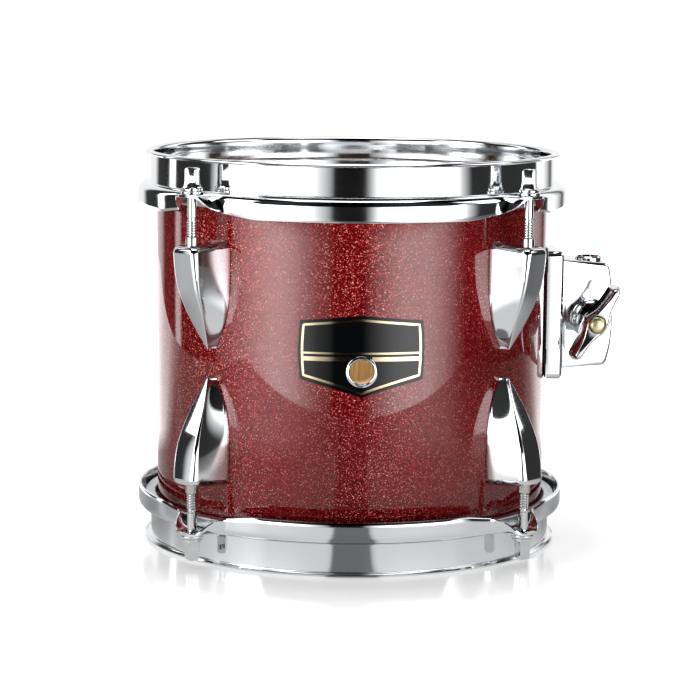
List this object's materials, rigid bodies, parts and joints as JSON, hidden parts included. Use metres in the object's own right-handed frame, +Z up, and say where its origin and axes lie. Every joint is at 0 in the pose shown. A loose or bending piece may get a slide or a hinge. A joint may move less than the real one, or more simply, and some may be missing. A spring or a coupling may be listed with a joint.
{
  "type": "rack tom drum",
  "caption": "Small rack tom: wrapped wooden shell, two clear heads under steel counter hoops, tube lugs with tension rods, badge with vent and a side clamp for an L-rod.",
  "frame": {"origin": "on the drum's axis in the plane of the lower rim, which the drum stands on", "axes": "+Z up along the drum's axis towards the playing head, -Y towards the badge and vent, +X towards the rod clamp"},
  "size_m": [0.2482, 0.221, 0.2025],
  "materials": {
    "shell_wood": "thin satin lacquer on pale hardwood ply",
    "sparkle_wrap": "glossy red sparkle covering",
    "badge_enamel": "gloss black enamel on thin metal with pale gold lines",
    "chrome": "bright plated",
    "hoop_chrome": "bright plated pressed steel",
    "lug_chrome": "bright plated die casting",
    "rod_chrome": "bright plated steel",
    "clamp_chrome": "bright plated die casting",
    "nickel_steel": "nickel plated turned steel",
    "zinc_steel": "zinc plated",
    "flesh_hoop_aluminium": "rolled bare aluminium",
    "drumhead_film": "clear polyester film",
    "gasket_rubber": "thin black sheet",
    "bolt_brass": "yellow passivated steel with a brassy tint"
  },
  "bodies": {
    "drum": {"shell": "shell_wood", "shell_wrap": "sparkle_wrap", "badge": "badge_enamel", "vent_grommet": "chrome", "vent_backing_ring": "zinc_steel", "batter_head_film": "drumhead_film", "batter_flesh_hoop": "flesh_hoop_aluminium", "batter_hoop": "hoop_chrome", "batter_lug_1": "lug_chrome", "batter_swivel_nut_1": "nickel_steel", "batter_lug_2": "lug_chrome", "batter_swivel_nut_2": "nickel_steel", "batter_lug_3": "lug_chrome", "batter_swivel_nut_3": "nickel_steel", "batter_lug_4": "lug_chrome", "batter_swivel_nut_4": "nickel_steel", "resonant_head_film": "drumhead_film", "resonant_flesh_hoop": "flesh_hoop_aluminium", "resonant_hoop": "hoop_chrome", "resonant_lug_1": "lug_chrome", "resonant_swivel_nut_1": "nickel_steel", "resonant_lug_2": "lug_chrome", "resonant_swivel_nut_2": "nickel_steel", "resonant_lug_3": "lug_chrome", "resonant_swivel_nut_3": "nickel_steel", "resonant_lug_4": "lug_chrome", "resonant_swivel_nut_4": "nickel_steel", "clamp_gasket": "gasket_rubber", "clamp_backing_plate": "zinc_steel", "rod_clamp_body": "clamp_chrome", "clamp_washer": "clamp_chrome", "clamp_screw_1": "zinc_steel", "clamp_screw_2": "zinc_steel", "clamp_screw_3": "zinc_steel", "clamp_screw_4": "zinc_steel"},
    "batter_washer_1": {"batter_rod_washer_1": "rod_chrome"},
    "batter_rod_1": {"batter_tension_rod_1": "rod_chrome"},
    "batter_washer_2": {"batter_rod_washer_2": "rod_chrome"},
    "batter_rod_2": {"batter_tension_rod_2": "rod_chrome"},
    "batter_washer_3": {"batter_rod_washer_3": "rod_chrome"},
    "batter_rod_3": {"batter_tension_rod_3": "rod_chrome"},
    "batter_washer_4": {"batter_rod_washer_4": "rod_chrome"},
    "batter_rod_4": {"batter_tension_rod_4": "rod_chrome"},
    "resonant_washer_1": {"resonant_rod_washer_1": "rod_chrome"},
    "resonant_rod_1": {"resonant_tension_rod_1": "rod_chrome"},
    "resonant_washer_2": {"resonant_rod_washer_2": "rod_chrome"},
    "resonant_rod_2": {"resonant_tension_rod_2": "rod_chrome"},
    "resonant_washer_3": {"resonant_rod_washer_3": "rod_chrome"},
    "resonant_rod_3": {"resonant_tension_rod_3": "rod_chrome"},
    "resonant_washer_4": {"resonant_rod_washer_4": "rod_chrome"},
    "resonant_rod_4": {"resonant_tension_rod_4": "rod_chrome"},
    "eye_bolt": {"clamp_eye_bolt": "bolt_brass"},
    "wing_nut": {"clamp_wing_nut": "clamp_chrome"}
  },
  "joints": [
    {"name": "batter_rod_1_lift", "type": "slide", "parent": "drum", "child": "batter_washer_1", "axis": [0, 0, 1], "range_m": [0, 0.0191]},
    {"name": "batter_rod_1_turn", "type": "hinge", "parent": "batter_washer_1", "child": "batter_rod_1", "pos_m": [-0.08245, -0.08245, 0.19], "axis": [0, 0, 1], "range_deg": [0, 6480]},
    {"name": "batter_rod_2_lift", "type": "slide", "parent": "drum", "child": "batter_washer_2", "axis": [0, 0, 1], "range_m": [0, 0.0191]},
    {"name": "batter_rod_2_turn", "type": "hinge", "parent": "batter_washer_2", "child": "batter_rod_2", "pos_m": [0.08245, -0.08245, 0.19], "axis": [0, 0, 1], "range_deg": [0, 6480]},
    {"name": "batter_rod_3_lift", "type": "slide", "parent": "drum", "child": "batter_washer_3", "axis": [0, 0, 1], "range_m": [0, 0.0191]},
    {"name": "batter_rod_3_turn", "type": "hinge", "parent": "batter_washer_3", "child": "batter_rod_3", "pos_m": [0.08245, 0.08245, 0.19], "axis": [0, 0, 1], "range_deg": [0, 6480]},
    {"name": "batter_rod_4_lift", "type": "slide", "parent": "drum", "child": "batter_washer_4", "axis": [0, 0, 1], "range_m": [0, 0.0191]},
    {"name": "batter_rod_4_turn", "type": "hinge", "parent": "batter_washer_4", "child": "batter_rod_4", "pos_m": [-0.08245, 0.08245, 0.19], "axis": [0, 0, 1], "range_deg": [0, 6480]},
    {"name": "resonant_rod_1_lift", "type": "slide", "parent": "drum", "child": "resonant_washer_1", "axis": [0, 0, -1], "range_m": [0, 0.0191]},
    {"name": "resonant_rod_1_turn", "type": "hinge", "parent": "resonant_washer_1", "child": "resonant_rod_1", "pos_m": [-0.08245, -0.08245, 0.0125], "axis": [0, 0, -1], "range_deg": [0, 6480]},
    {"name": "resonant_rod_2_lift", "type": "slide", "parent": "drum", "child": "resonant_washer_2", "axis": [0, 0, -1], "range_m": [0, 0.0191]},
    {"name": "resonant_rod_2_turn", "type": "hinge", "parent": "resonant_washer_2", "child": "resonant_rod_2", "pos_m": [0.08245, -0.08245, 0.0125], "axis": [0, 0, -1], "range_deg": [0, 6480]},
    {"name": "resonant_rod_3_lift", "type": "slide", "parent": "drum", "child": "resonant_washer_3", "axis": [0, 0, -1], "range_m": [0, 0.0191]},
    {"name": "resonant_rod_3_turn", "type": "hinge", "parent": "resonant_washer_3", "child": "resonant_rod_3", "pos_m": [0.08245, 0.08245, 0.0125], "axis": [0, 0, -1], "range_deg": [0, 6480]},
    {"name": "resonant_rod_4_lift", "type": "slide", "parent": "drum", "child": "resonant_washer_4", "axis": [0, 0, -1], "range_m": [0, 0.0191]},
    {"name": "resonant_rod_4_turn", "type": "hinge", "parent": "resonant_washer_4", "child": "resonant_rod_4", "pos_m": [-0.08245, 0.08245, 0.0125], "axis": [0, 0, -1], "range_deg": [0, 6480]},
    {"name": "wing_nut_turn", "type": "hinge", "parent": "drum", "child": "wing_nut", "pos_m": [0.1243, -0.03, 0.116], "axis": [0, 1, 0], "range_deg": [0, 540]},
    {"name": "eye_bolt_draw", "type": "slide", "parent": "drum", "child": "eye_bolt", "axis": [0, -1, 0], "range_m": [0, 0.0019]}
  ],
  "couplings": [
    {"joint": "batter_rod_1_lift", "follows": "batter_rod_1_turn", "m_per_rad": 0.00016843},
    {"joint": "batter_rod_2_lift", "follows": "batter_rod_2_turn", "m_per_rad": 0.00016843},
    {"joint": "batter_rod_3_lift", "follows": "batter_rod_3_turn", "m_per_rad": 0.00016843},
    {"joint": "batter_rod_4_lift", "follows": "batter_rod_4_turn", "m_per_rad": 0.00016843},
    {"joint": "resonant_rod_1_lift", "follows": "resonant_rod_1_turn", "m_per_rad": 0.00016843},
    {"joint": "resonant_rod_2_lift", "follows": "resonant_rod_2_turn", "m_per_rad": 0.00016843},
    {"joint": "resonant_rod_3_lift", "follows": "resonant_rod_3_turn", "m_per_rad": 0.00016843},
    {"joint": "resonant_rod_4_lift", "follows": "resonant_rod_4_turn", "m_per_rad": 0.00016843},
    {"joint": "eye_bolt_draw", "follows": "wing_nut_turn", "m_per_rad": 0.00019894}
  ]
}
